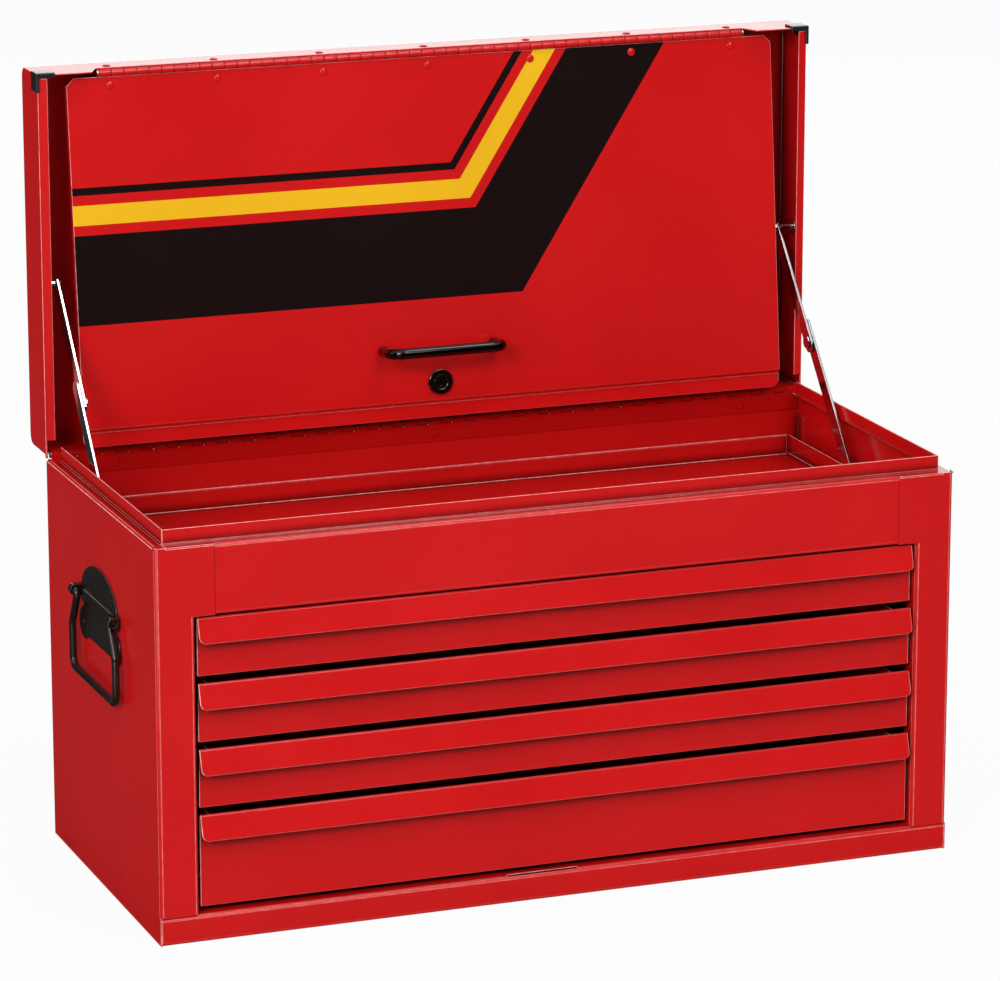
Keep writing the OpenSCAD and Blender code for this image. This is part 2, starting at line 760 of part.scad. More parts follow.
module pull_handle() {
    reach = pull_reach - pull_r;
    bar_y = cover_face - reach;
    color(dark_chrome) cover_rest() translate([0, 0, -pull_drop]) difference() {
        union() {
            rod_x(pull_r, -pull_pitch / 2 + pull_bend_r, pull_pitch / 2 - pull_bend_r, bar_y, 0);
            both_sides() {
                rod_y(pull_r, bar_y + pull_bend_r, cover_face, pull_pitch / 2, 0);
                translate([pull_pitch / 2 - pull_bend_r, bar_y + pull_bend_r, 0]) rotate([0, 0, -90])
                    rotate_extrude(angle = 90) translate([pull_bend_r, 0]) circle(pull_r);
            }
        }
        both_sides()
            rod_y(screw_r + hole_ease, cover_face - screw_depth - 1, cover_face + 1, pull_pitch / 2, 0);
    }
}
module pull_screws() {
    color(steel) cover_rest() both_sides() {
        rod_y(screw_r, cover_face - screw_depth, cover_back, pull_pitch / 2, -pull_drop);
        rod_y(screw_head_r, cover_back, cover_back + screw_head_h, pull_pitch / 2, -pull_drop);
    }
}

// Lock
module lock_housing() {
    color(dark_chrome) cover_rest() difference() {
        union() {
            rod_y(bezel_r, cover_face - bezel_h, cover_face, 0, -lock_drop);
            rod_y(lock_body_r, cover_face, lock_rear, 0, -lock_drop);
        }
        rod_y(plug_r + lock_ease, cover_face - bezel_h - 1, lock_rear + 1, 0, -lock_drop);
    }
}
module lock_nut() {
    color(steel) cover_rest() difference() {
        translate([0, cover_back + nut_t, -lock_drop])
            rotate([90, 0, 0]) cylinder(r = nut_r, h = nut_t, $fn = 6);
        rod_y(lock_body_r + hole_ease, cover_back - 1, cover_back + nut_t + 1, 0, -lock_drop);
    }
}
module lock_plug() {
    slot_w = 1.4;
    slot_h = 6.5;
    color(steel) cover_rest() difference() {
        rod_y(plug_r, cover_face - bezel_h + 0.6, cam_start, 0, -lock_drop);
        block([-slot_w / 2, cover_face - bezel_h - 1, -lock_drop - slot_h / 2],
            [slot_w / 2, cover_face + 2, -lock_drop + slot_h / 2]);
    }
}
module lock_cam() {
    color(steel) cover_rest() translate([0, 0, -lock_drop]) {
        rod_y(cam_w / 2, cam_start, cam_start + cam_t, 0, 0);
        block([-cam_len, cam_start, -cam_w / 2], [0, cam_start + cam_t, cam_w / 2]);
    }
}

// Lid stays, one link each in its own plane beside the till
module link(from, to, tail_from, tail_to) {
    angle = atan2(to[1] - from[1], to[0] - from[0]);
    reach = norm(to - from) + tail_to;
    translate(from) rotate(angle) {
        translate([-tail_from, -link_r]) square([tail_from + reach, 2 * link_r]);
        translate([-tail_from, 0]) circle(link_r);
        translate([reach, 0]) circle(link_r);
    }
}
module stay_lower(left) {
    color(steel) hand(left) {
        difference() {
            run_x(lower_in, lower_out) link(foot, elbow, 0, lower_tail);
            rod_x(stud_r + stud_ease, lower_in - 1, lower_out + 1, foot[0], foot[1]);
        }
        rod_x(stud_r, upper_in - touch_gap, lower_in, elbow[0], elbow[1]);
        rod_x(elbow_head_r, upper_in - touch_gap - stud_head_h, upper_in - touch_gap, elbow[0], elbow[1]);
    }
}
module stay_lower_left() { stay_lower(true); }
module stay_lower_right() { stay_lower(false); }

module stay_upper(left) {
    color(steel) hand(left) {
        difference() {
            run_x(upper_in, upper_out) link(elbow, lid_stud, upper_tail, 0);
            rod_x(stud_r + stud_ease, upper_in - 1, upper_out + 1, elbow[0], elbow[1]);
        }
        rod_x(elbow_head_r, upper_in - stud_head_h, upper_in, lid_stud[0], lid_stud[1]);
    }
}
module stay_upper_left() { stay_upper(true); }
module stay_upper_right() { stay_upper(false); }

module foot_stud(left) {
    color(steel) hand(left) {
        rod_x(stud_r, lower_in - touch_gap, pan_x, foot[0], foot[1]);
        rod_x(stud_head_r, lower_in - touch_gap - stud_head_h, lower_in - touch_gap, foot[0], foot[1]);
        rod_x(collar_r, lower_out + touch_gap, pan_x - sheet, foot[0], foot[1]);
        rod_x(collar_r, pan_x, pan_x + sheet, foot[0], foot[1]);
    }
}
module foot_stud_left() { foot_stud(true); }
module foot_stud_right() { foot_stud(false); }

module lid_stud_post(left) {
    base_h = 1.5;
    base_r = 7;
    color(steel) hand(left) {
        rod_x(stud_r + 0.5, upper_out + touch_gap, wall_x, lid_stud[0], lid_stud[1]);
        rod_x(base_r, wall_x - base_h, wall_x, lid_stud[0], lid_stud[1]);
    }
}
module lid_stud_left() { lid_stud_post(true); }
module lid_stud_right() { lid_stud_post(false); }

side_left();
side_right();
back_panel();
base_pan();
fascia();
till_pan();
till_ledge_left();
till_ledge_right();
rear_post_left();
rear_post_right();
fixed_rails_1();
fixed_rails_2();
fixed_rails_3();
fixed_rails_4();
drawer_rails_1();
drawer_rails_2();
drawer_rails_3();
drawer_rails_4();
drawer_tray_1();
drawer_tray_2();
drawer_tray_3();
drawer_tray_4();
drawer_front_1();
drawer_front_2();
drawer_front_3();
drawer_front_4();
handle_plate_left();
handle_plate_right();
handle_rivets();
bail_left();
bail_right();
rear_leaf_cabinet();
rear_rivets_cabinet();
rear_hinge_pin();
rear_leaf_lid();
rear_rivets_lid();
lid_shell();
lid_cap_left();
lid_cap_right();
cover_leaf_lid();
cover_hinge_pin();
cover_rivets_lid();
cover_leaf_panel();
cover_rivets_panel();
cover_panel();
pull_handle();
pull_screws();
lock_housing();
lock_nut();
lock_plug();
lock_cam();
stay_lower_left();
stay_lower_right();
stay_upper_left();
stay_upper_right();
foot_stud_left();
foot_stud_right();
lid_stud_left();
lid_stud_right();
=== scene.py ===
# A steel tool chest: four drawers, a lift-up lid on folding stays, and a front cover that stows in the lid.
# Metres, in the frame of the solids: X is the width, the drawers pull out towards -Y, +Z is up.

import json
from math import cos, pi, radians, sin

import bmesh
import bpy
from mathutils import Matrix, Vector

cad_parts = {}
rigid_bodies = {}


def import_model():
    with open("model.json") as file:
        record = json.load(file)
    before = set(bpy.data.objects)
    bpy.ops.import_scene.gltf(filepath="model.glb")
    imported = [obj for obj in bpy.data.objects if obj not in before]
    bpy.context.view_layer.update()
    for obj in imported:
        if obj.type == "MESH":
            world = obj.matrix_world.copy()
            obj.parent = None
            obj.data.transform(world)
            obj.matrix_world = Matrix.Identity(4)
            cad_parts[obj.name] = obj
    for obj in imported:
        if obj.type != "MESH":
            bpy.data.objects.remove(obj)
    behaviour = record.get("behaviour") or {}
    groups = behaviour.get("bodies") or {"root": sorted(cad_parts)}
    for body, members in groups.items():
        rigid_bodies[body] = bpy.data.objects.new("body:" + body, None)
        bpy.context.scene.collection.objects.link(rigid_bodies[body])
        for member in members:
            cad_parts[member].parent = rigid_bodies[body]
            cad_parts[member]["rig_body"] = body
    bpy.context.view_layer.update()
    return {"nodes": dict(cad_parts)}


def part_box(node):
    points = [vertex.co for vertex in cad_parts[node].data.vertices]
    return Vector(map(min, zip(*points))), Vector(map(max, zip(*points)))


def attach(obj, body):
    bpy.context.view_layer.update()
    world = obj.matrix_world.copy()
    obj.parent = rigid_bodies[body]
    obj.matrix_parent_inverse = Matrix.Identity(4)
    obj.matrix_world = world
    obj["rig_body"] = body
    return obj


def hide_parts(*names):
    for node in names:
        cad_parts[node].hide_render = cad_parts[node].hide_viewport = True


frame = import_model()
scene = bpy.context.scene
scene.view_settings.view_transform = "Standard"

# Camera
# A long lens four metres off, a little above the chest and to its left.
camera = bpy.data.objects.new("camera", bpy.data.cameras.new("camera"))
camera.data.sensor_width = 36
camera.data.lens = 178.6
camera.data.clip_end = 60
camera.location = (-1.3596, -3.5747, 1.2836)
camera.rotation_euler = (radians(90 - 14.514), 0, radians(-20.852))
scene.collection.objects.link(camera)
scene.camera = camera

# Studio
# A pale floor in a white room, lit by soft boxes to the left, in front, beside the left wall, above and
# behind. Dark cloth all round and on the floor keeps the white room out of the gloss, and a white card on it
# draws the highlights of the upright folds; only mirrored rays meet the two.


class Wire:
    """A socket of a node tree. Sums and products add Math nodes, and add() makes any other node."""

    def __init__(self, tree, socket=None):
        self.tree = tree
        self.socket = socket

    def add(self, kind, settings=None, sockets=None, output=0):
        node = self.tree.nodes.new(kind)
        for name, value in (settings or {}).items():
            setattr(node, name, value)
        for name, value in (sockets or {}).items():
            if isinstance(value, Wire):
                self.tree.links.new(value.socket, node.inputs[name])
            else:
                node.inputs[name].default_value = value
        return Wire(self.tree, node.outputs[output] if node.outputs else None)

    def beside(self, output):
        return Wire(self.tree, self.socket.node.outputs[output])

    def math(self, operation, first, second):
        return self.add("ShaderNodeMath", {"operation": operation}, {0: first, 1: second})

    def mix(self, share, first, second):
        return self.add("ShaderNodeMix", {"data_type": "RGBA"}, {0: share, 6: first, 7: second}, output=2)

    def ramp(self, low, high):
        """0 below low and 1 above high."""
        return self.add("ShaderNodeMapRange", None, {0: self, 1: low, 2: high})

    def __add__(self, other):
        return self.math("ADD", self, other)

    def __sub__(self, other):
        return self.math("SUBTRACT", self, other)

    def __rsub__(self, other):
        return self.math("SUBTRACT", other, self)

    def __mul__(self, other):
        return self.math("MULTIPLY", self, other)

    __radd__ = __add__
    __rmul__ = __mul__


def seen_straight(pen):
    """1 for the rays of the camera and of mirrors and glass, 0 for the light that falls on things."""
    ray = pen.add("ShaderNodeLightPath", output="Is Camera Ray")
    return pen.math("MINIMUM", ray + ray.beside("Is Glossy Ray") + ray.beside("Is Transmission Ray"), 1.0)


white = (1, 1, 1, 1)
room_light = 0.45
room = bpy.data.worlds.new("room")
room.use_nodes = True
room.node_tree.nodes.clear()
pen = Wire(room.node_tree)
room_level = room_light + (1 - room_light) * seen_straight(pen)
glow = pen.add("ShaderNodeBackground", None, {"Color": white, "Strength": room_level})
pen.add("ShaderNodeOutputWorld", None, {"Surface": glow})
scene.world = room

floor_finish = bpy.data.materials.new("pale_floor")
floor_finish.use_nodes = True
floor_finish.node_tree.nodes.clear()
pen = Wire(floor_finish.node_tree)
dull = pen.add("ShaderNodeBsdfDiffuse", None, {"Color": (0.70, 0.70, 0.70, 1)})
bright = pen.add("ShaderNodeEmission", None, {"Color": white, "Strength": 1.0})
floor_glow = 0.95
cast = pen.add("ShaderNodeMixShader", None, {0: floor_glow * seen_straight(pen), 1: dull, 2: bright})
pen.add("ShaderNodeOutputMaterial", None, {"Surface": cast})
floor_reach = 20
floor_mesh = bpy.data.meshes.new("floor")
floor_mesh.from_pydata([(-floor_reach, -floor_reach, 0), (floor_reach, -floor_reach, 0),
                        (floor_reach, floor_reach, 0), (-floor_reach, floor_reach, 0)], [], [(0, 1, 2, 3)])
floor_mesh.materials.append(floor_finish)
floor = bpy.data.objects.new("floor", floor_mesh)
scene.collection.objects.link(floor)

cloth_finish = bpy.data.materials.new("dark_cloth")
cloth_finish.use_nodes = True
cloth_finish.node_tree.nodes["Principled BSDF"].inputs["Base Color"].default_value = (0.015, 0.015, 0.015, 1)
cloth_shape = bmesh.new()
cloth_reach, cloth_height, cloth_folds = 6.0, 5.0, 48
bmesh.ops.create_circle(cloth_shape, cap_ends=True, segments=cloth_folds, radius=cloth_reach)
hem = bmesh.ops.extrude_edge_only(cloth_shape, edges=cloth_shape.edges[:])
for vertex in hem["geom"]:
    if isinstance(vertex, bmesh.types.BMVert):
        vertex.co.z = cloth_height
cloth_mesh = bpy.data.meshes.new("dark_cloth")
cloth_shape.to_mesh(cloth_mesh)
cloth_shape.free()
cloth_mesh.materials.append(cloth_finish)
card_finish = bpy.data.materials.new("white_card")
card_finish.use_nodes = True
card_finish.node_tree.nodes.clear()
pen = Wire(card_finish.node_tree)
card_strength = 3.5
card_glow = pen.add("ShaderNodeEmission", None, {"Color": white, "Strength": card_strength})
pen.add("ShaderNodeOutputMaterial", None, {"Surface": card_glow})
card_mesh = bpy.data.meshes.new("white_card")
card_corners = [(-2.5, -1.7, 0), (-1.05, -2.2, 0), (-0.8, -0.5, 0), (-1.1, -0.3, 0)]
card_mesh.from_pydata(card_corners, [], [(0, 1, 2, 3)])
card_mesh.materials.append(card_finish)
for name, mesh, lift in (("dark_cloth", cloth_mesh, 0.001), ("white_card", card_mesh, 0.002)):
    sheet = bpy.data.objects.new(name, mesh)
    sheet.location.z = lift
    sheet.visible_camera = False
    sheet.visible_diffuse = False
    sheet.visible_transmission = False
    sheet.visible_shadow = False
    scene.collection.objects.link(sheet)

chest_middle = Vector((0, 0, 0.3))
for name, place, width, height, power in (
        ("left_box", (-3.0, -3.0, 2.3), 1.8, 1.6, 105),
        ("front_box", (0.7, -3.6, 2.9), 1.6, 1.2, 44),
        ("side_box", (-3.4, 0.4, 1.5), 1.4, 1.2, 13),
        ("top_box", (0.8, -0.9, 3.4), 1.4, 0.5, 22),
        ("back_box", (1.2, 3.4, 1.55), 3.4, 1.3, 30)):
    lamp = bpy.data.lights.new(name, "AREA")
    lamp.shape = "RECTANGLE"
    lamp.size = width
    lamp.size_y = height
    lamp.energy = power
    box = bpy.data.objects.new(name, lamp)
    box.location = place
    box.rotation_euler = (chest_middle - Vector(place)).to_track_quat("-Z", "Y").to_euler()
    box.visible_camera = False
    scene.collection.objects.link(box)

# Cabinet shell
# Folded sheet steel, 1.2 mm thick, in gloss red powder coat: two side walls with their stiles, the fascia,
# the base pan with its apron, and the back panel. The sheets are spot-welded where they lap.


def new_finish(name):
    finish = bpy.data.materials.new(name)
    finish.use_nodes = True
    finish.node_tree.nodes.clear()
    return finish, Wire(finish.node_tree)


def powder_coat(name, colour, edge_colour, roughness, peel, gloss, shade_reach=0.008):
    """Powder coat over folded steel. colour is a colour, or a function of pen and place that gives one.
    The coat is darkened by painted shade in the folds, within shade_reach of the sheet that stands over it."""
    finish, pen = new_finish(name)
    place = pen.add("ShaderNodeTexCoord", output="Object")
    cloud = pen.add("ShaderNodeTexNoise", None, {"Vector": place, "Scale": 7.0, "Detail": 3.0})
    cells = pen.add("ShaderNodeTexNoise", None, {"Vector": place, "Scale": 520.0, "Detail": 1.0})
    specks = pen.add("ShaderNodeTexNoise", None, {"Vector": place, "Scale": 160.0, "Detail": 4.0})
    coat = colour(pen, place) if callable(colour) else colour
    deep = pen.add("ShaderNodeMix", {"data_type": "RGBA", "blend_type": "MULTIPLY"},
                   {0: 1.0, 6: coat, 7: (0.93, 0.90, 0.90, 1)}, output=2)
    tint = pen.mix(cloud.ramp(0.35, 0.65), deep, coat)
    # The pale colour on the rounded edges and fold strips is partly wear of the coat and partly painted
    # highlight.
    edge = pen.add("ShaderNodeAttribute", {"attribute_name": "edge"}, output="Fac")
    highlight_and_wear = edge * (0.5 + 0.4 * specks.ramp(0.4, 0.62))
    # Painted shade: the colour is darkened where the piece's own sheet closes over it.
    open_to_air = pen.add("ShaderNodeAmbientOcclusion", {"samples": 6, "only_local": True},
                          {"Distance": shade_reach}, output="AO")
    painted_shade = 0.3 + 0.7 * open_to_air.ramp(0.60, 1.0)
    shaded = pen.add("ShaderNodeMix", {"data_type": "RGBA", "blend_type": "MULTIPLY"},
                     {0: 1.0, 6: tint, 7: painted_shade}, output=2)
    base = pen.mix(highlight_and_wear, shaded, edge_colour)
    rough = roughness + 0.10 * (cloud - 0.5) + 0.06 * (specks - 0.5)
    skin = pen.add("ShaderNodeBump", None, {"Strength": peel, "Distance": 0.0001, "Height": cells})
    shader = pen.add("ShaderNodeBsdfPrincipled", None,
                     {"Base Color": base, "Roughness": rough, "Specular IOR Level": gloss, "Normal": skin})
    pen.add("ShaderNodeOutputMaterial", None, {"Surface": shader})
    return finish


red = (0.580, 0.0060, 0.0068, 1)
# A pale pink for the painted highlight and the wear on rounded edges and fold strips.
red_edge = (0.93, 0.46, 0.42, 1)
red_paint = powder_coat("red_paint", red, red_edge, 0.20, 0.10, 0.40)


def settled(piece):
    """The piece with its modifiers worked into a plain mesh."""
    graph = bpy.context.evaluated_depsgraph_get()
    whole = piece.evaluated_get(graph)
    plain = bpy.data.meshes.new_from_object(whole, preserve_all_data_layers=True, depsgraph=graph)
    piece.modifiers.clear()
    piece.data = plain
    return piece


def made(name, shape, finish):
    """A new object at the origin from a bmesh, smooth, with normals that keep its flat faces flat."""
    mesh = bpy.data.meshes.new(name)
    shape.to_mesh(mesh)
    shape.free()
    mesh.materials.clear()
    mesh.materials.append(finish)
    mesh.shade_smooth()
    piece = bpy.data.objects.new(name, mesh)
    scene.collection.objects.link(piece)
    flat_faces = piece.modifiers.new("flat faces", "WEIGHTED_NORMAL")
    flat_faces.weight = 100
    flat_faces.keep_sharp = True
    return settled(piece)


def fitted(piece, body, slot, *nodes):
    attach(piece, body)
    if nodes:
        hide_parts(*nodes)
    return piece


strip_width = 0.0012
roll_width = 0.00035
fold_highlight = 0.4
underside_highlight = 0.2
sharp_angle = radians(35)
seam_reach = 0.0012
downward = -0.05


def on_fold(face):
    """Whether a face is a narrow strip where a fold begins or ends, or part of a thin roll."""
    width = face.calc_area() / max(e.calc_length() for e in face.edges)
    lean = max(abs(part) for part in face.normal)
    slightly_turned = cos(radians(15)) < lean < cos(radians(5))
    return width < strip_width and slightly_turned or width < roll_width


def dressed(node, finish, slot, round_off=0.00035, highlight_share=1.0, seam=None):
    """A solid with its sharp edges rounded off, as the sheared and tumbled edges of the real piece are. Edges
    along the seam, at a distance to each side of the middle, stay as they are. worn is how strong the pale
    coat is on the rounded edges, partly wear and partly painted highlight; edges that look down get less of
    it."""
    solid = frame["nodes"][node]
    shape = bmesh.new()
    shape.from_mesh(solid.data)
    edge = shape.faces.layers.float.new("edge")
    bmesh.ops.remove_doubles(shape, verts=shape.verts, dist=2e-6)
    bmesh.ops.dissolve_limit(shape, angle_limit=radians(0.5), verts=shape.verts, edges=shape.edges)
    # Narrow strips where folds begin and end, and thin rolls, get a painted highlight line.
    for face in shape.faces:
        face[edge] = fold_highlight * highlight_share if on_fold(face) else 0.0
    sharp = [e for e in shape.edges if e.is_manifold and e.calc_face_angle() > sharp_angle]
    at_seam = [e for e in sharp if seam and all(abs(abs(v.co.x) - seam) < seam_reach for v in e.verts)]
    for line in at_seam:
        line.smooth = False
    free = [e for e in sharp if e not in at_seam]
    rounded = bmesh.ops.bevel(shape, geom=free, offset=round_off, segments=2, profile=0.5, affect="EDGES",
                              clamp_overlap=False)
    # The rounded edges get the pale coat, partly wear and partly painted highlight.
    for face in rounded["faces"]:
        face[edge] = highlight_share
    # Faces that look down get less painted highlight.
    for face in shape.faces:
        if face.normal.z < downward:
            face[edge] *= underside_highlight
    return fitted(made(node + "_dressed", shape, finish), solid["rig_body"], slot, node)


fascia_half = 0.283
for node in ("base_pan", "side_left", "side_right", "fascia"):
    dressed(node, red_paint, "red_paint", seam=fascia_half)

# A darker copy of the red, painted shade, for the back panel and the till inside the chest; the back panel
# has little painted highlight on its edges.
inner_red = powder_coat("inner_red", (0.50, 0.0060, 0.0060, 1), red_edge, 0.18, 0.12, 0.40)
dressed("back_panel", inner_red, "inner_red", highlight_share=0.1)

# Till
# A shallow pan of painted sheet that lies on two angle ledges under the rim. Two angle posts at the back
# carry the rear ends of the drawer slides.
for node in ("till_pan", "till_ledge_left", "till_ledge_right", "rear_post_left", "rear_post_right"):
    dressed(node, inner_red, "inner_red")

# Drawer slides
# Zinc-plated steel channels, one pair on the cabinet and one on the drawer at each level, nested with a
# little play.


def plated(name, colour, roughness, streak):
    """Plated steel with fine drawing lines along one axis; streak is the scale of the lines on X, Y and Z."""
    finish, pen = new_finish(name)
    place = pen.add("ShaderNodeTexCoord", output="Object")
    drawn = pen.add("ShaderNodeMapping", None, {"Vector": place, "Scale": streak})
    lines = pen.add("ShaderNodeTexNoise", None, {"Vector": drawn, "Scale": 1.0, "Detail": 3.0})
    bloom = pen.add("ShaderNodeTexNoise", None, {"Vector": place, "Scale": 60.0, "Detail": 2.0})
    dark = tuple(0.78 * c for c in colour[:3]) + (1,)
    tint = pen.mix(bloom.ramp(0.35, 0.7), colour, dark)
    rough = roughness + 0.16 * (lines - 0.5) + 0.08 * (bloom - 0.5)
    grain = pen.add("ShaderNodeBump", None, {"Strength": 0.12, "Distance": 0.00005, "Height": lines})
    shader = pen.add("ShaderNodeBsdfPrincipled", None,
                     {"Base Color": tint, "Metallic": 1.0, "Roughness": rough, "Normal": grain})
    pen.add("ShaderNodeOutputMaterial", None, {"Surface": shader})
    return finish


zinc_steel = plated("zinc_steel", (0.72, 0.72, 0.74, 1), 0.27, (900, 40, 900))
# A dark copy of the plated finish for the slides and the rear hinge pin: painted shade for the dark gaps they
# sit in.
shaded_slide_steel = plated("shaded_slide_steel", (0.22, 0.21, 0.21, 1), 0.34, (900, 40, 900))
for level in (1, 2, 3, 4):
    for rails in (f"fixed_rails_{level}", f"drawer_rails_{level}"):
        frame["nodes"][rails].material_slots[0].material = shaded_slide_steel

# Drawers
# A folded tray spot-welded to a front. The top edge of the front is turned over into a slanted finger lip,
# and painted shade darkens the coat in the lee of the lip.
# The coat for the fronts, with painted shade that reaches 5 cm.
shaded_front_paint = powder_coat("shaded_front_paint", red, red_edge, 0.20, 0.10, 0.40, 0.05)
for level in (1, 2, 3, 4):
    dressed(f"drawer_front_{level}", shaded_front_paint, "red_paint", 0.0006)
    dressed(f"drawer_tray_{level}", red_paint, "red_paint")

# Side handles
# A pressed black plate with an arched top, a rib across its middle and two rolled ears, riveted to the side
# wall, and a bail of round bar. The bail's ends turn outwards into the ears, and its legs flare below them.


def enamel(name, colour, roughness, grain_scale, grain_depth, coat):
    """Black enamel or plastic with a fine grain, paler at random, and with a painted highlight on its edges.
    """
    finish, pen = new_finish(name)
    place = pen.add("ShaderNodeTexCoord", output="Object")
    grain = pen.add("ShaderNodeTexNoise", None, {"Vector": place, "Scale": grain_scale, "Detail": 2.0})
    cloud = pen.add("ShaderNodeTexNoise", None, {"Vector": place, "Scale": 45.0, "Detail": 3.0})
    edge = pen.add("ShaderNodeAttribute", {"attribute_name": "edge"}, output="Fac")
    pale_tone_and_highlight = tuple(2.6 * c + 0.012 for c in colour[:3]) + (1,)
    # Painted highlight on the edges, and a paler tone at random.
    tint = pen.mix(0.5 * edge + 0.25 * cloud.ramp(0.45, 0.75), colour, pale_tone_and_highlight)
    rough = roughness + 0.14 * (cloud - 0.5)
    skin = pen.add("ShaderNodeBump", None, {"Strength": grain_depth, "Distance": 0.0001, "Height": grain})
    shader = pen.add("ShaderNodeBsdfPrincipled", None, {
        "Base Color": tint, "Roughness": rough, "Specular IOR Level": 0.35, "Coat Weight": coat,
        "Coat Roughness": 0.12, "Normal": skin})
    pen.add("ShaderNodeOutputMaterial", None, {"Surface": shader})
    return finish


black_enamel = enamel("black_enamel", (0.009, 0.006, 0.004, 1), 0.24, 420.0, 0.15, 0.35)
for side in ("left", "right"):
    dressed(f"handle_plate_{side}", black_enamel, "black_enamel", 0.0006)


def cornered(points, radii, steps=8):
    """The path through points with each corner turned on its radius."""
    path = [Vector(points[0])]
    for before, corner, after, radius in zip(points, points[1:], points[2:], radii):
        corner = Vector(corner)
        back = (Vector(before) - corner).normalized()
        ahead = (Vector(after) - corner).normalized()
        half = back.angle(ahead) / 2
        centre = corner + (back + ahead).normalized() * (radius / sin(half))
        sweep = pi - 2 * half
        start = -(centre - corner - back * (radius / (sin(half) / cos(half)))).normalized()
        axis = back.cross(ahead).normalized()
        for k in range(steps + 1):
            path.append(centre + radius * (Matrix.Rotation(-sweep * k / steps, 3, axis) @ start))
    path.append(Vector(points[-1]))
    return path


def round_bar(path, radii, sides=20):
    """A bar of round section swept along a path, with a radius at each point and closed ends."""
    shape = bmesh.new()
    ways = [(b - a).normalized() for a, b in zip(path, path[1:])]
    ways = [ways[0]] + [(a + b).normalized() for a, b in zip(ways, ways[1:])] + [ways[-1]]
    side = ways[0].orthogonal().normalized()
    rings = []
    for point, way, radius in zip(path, ways, radii):
        side = (side - way * side.dot(way)).normalized()
        other = way.cross(side)
        rings.append([shape.verts.new(point + radius * (cos(a) * side + sin(a) * other))
                      for a in (2 * pi * k / sides for k in range(sides))])
    for low, high in zip(rings, rings[1:]):
        for k in range(sides):
            n = (k + 1) % sides
            shape.faces.new((low[k], low[n], high[n], high[k]))
    shape.faces.new(reversed(rings[0]))
    shape.faces.new(rings[-1])
    bmesh.ops.recalc_face_normals(shape, faces=shape.faces)
    return shape


bail_radius = 0.003
bail_bend = 0.009
bail_flare = 0.0168
bail_knee_drop = 0.028
bail_top_bend = 0.0035
ear_pin_radius = 0.0026
ear_pin_length = 0.0115
for side in ("left", "right"):
    low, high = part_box(f"bail_{side}")
    out = (low.x + high.x) / 2
    leg = high.y - bail_radius
    pivot = high.z - bail_radius
    foot = low.z + bail_radius
    knee = pivot - bail_knee_drop
    top = leg - bail_flare
    end = top + ear_pin_length
    one_side = [(end, pivot), (top, pivot), (leg, knee), (leg, foot)]
    points = [(out, -y, z) for y, z in one_side] + [(out, y, z) for y, z in reversed(one_side)]
    path = cornered(points, (bail_top_bend,) + (bail_bend,) * 4 + (bail_top_bend,))
    radii = [ear_pin_radius] * 2 + [bail_radius] * (len(path) - 4) + [ear_pin_radius] * 2
    bail = made(f"bail_{side}_bar", round_bar(path, radii), black_enamel)
    fitted(bail, f"bail_{side}", "black_enamel", f"bail_{side}")


def turned(profile, sides=16):
    """A body of revolution about Z from (radius, height) points that begin and end on the axis."""
    shape = bmesh.new()
    outline = [shape.verts.new((radius, 0, height)) for radius, height in profile]
    for start, end in zip(outline, outline[1:]):
        shape.edges.new((start, end))
    bmesh.ops.spin(shape, geom=shape.verts[:] + shape.edges[:], axis=(0, 0, 1), cent=(0, 0, 0), angle=2 * pi,
                   steps=sides, use_merge=True)
    bmesh.ops.remove_doubles(shape, verts=shape.verts, dist=1e-7)
    bmesh.ops.recalc_face_normals(shape, faces=shape.faces)
    return shape


def rivet(grip):
    """A dome-headed rivet along Z. Its sheets lie between 0 and grip, and its tail is flat behind them."""
    head, dome, shank = 0.0034, 0.0011, 0.0016
    cap = [(head * cos(a), grip + dome * sin(a)) for a in (pi / 2 * k / 4 for k in range(5))]
    tail = 0.7 * dome
    stem = [(0, -tail), (0.8 * head, -tail), (0.95 * head, 0), (shank, 0), (shank, grip)]
    return turned(stem + cap, 14)


def row_tree():
    """Nodes that set a unit in a straight row on top of what they are given."""
    tree = bpy.data.node_groups.new("row_of_units", "GeometryNodeTree")
    tree.interface.new_socket("Geometry", in_out="INPUT", socket_type="NodeSocketGeometry")
    for label, kind in (("Unit", "Object"), ("Count", "Int"), ("Start", "Vector"), ("Step", "Vector"),
                        ("Turn", "Rotation"), ("Finish", "Material")):
        tree.interface.new_socket(label, in_out="INPUT", socket_type="NodeSocket" + kind)
    tree.interface.new_socket("Geometry", in_out="OUTPUT", socket_type="NodeSocketGeometry")
    pen = Wire(tree)
    given = pen.add("NodeGroupInput", output="Geometry")
    line = pen.add("GeometryNodeMeshLine", {"mode": "OFFSET"}, {
        "Count": given.beside("Count"), "Start Location": given.beside("Start"),
        "Offset": given.beside("Step")})
    unit = pen.add("GeometryNodeObjectInfo", None, {"Object": given.beside("Unit")}, output="Geometry")
    units = pen.add("GeometryNodeInstanceOnPoints", None, {
        "Points": line, "Instance": unit, "Rotation": given.beside("Turn")})
    solid = pen.add("GeometryNodeRealizeInstances", None, {"Geometry": units})
    whole = pen.add("GeometryNodeJoinGeometry", None, {"Geometry": solid})
    tree.links.new(given.socket, whole.socket.node.inputs["Geometry"])
    coated = pen.add("GeometryNodeSetMaterial", None, {"Geometry": whole, "Material": given.beside("Finish")})
    pen.add("NodeGroupOutput", None, {"Geometry": coated})
    return tree


unit_row = row_tree()


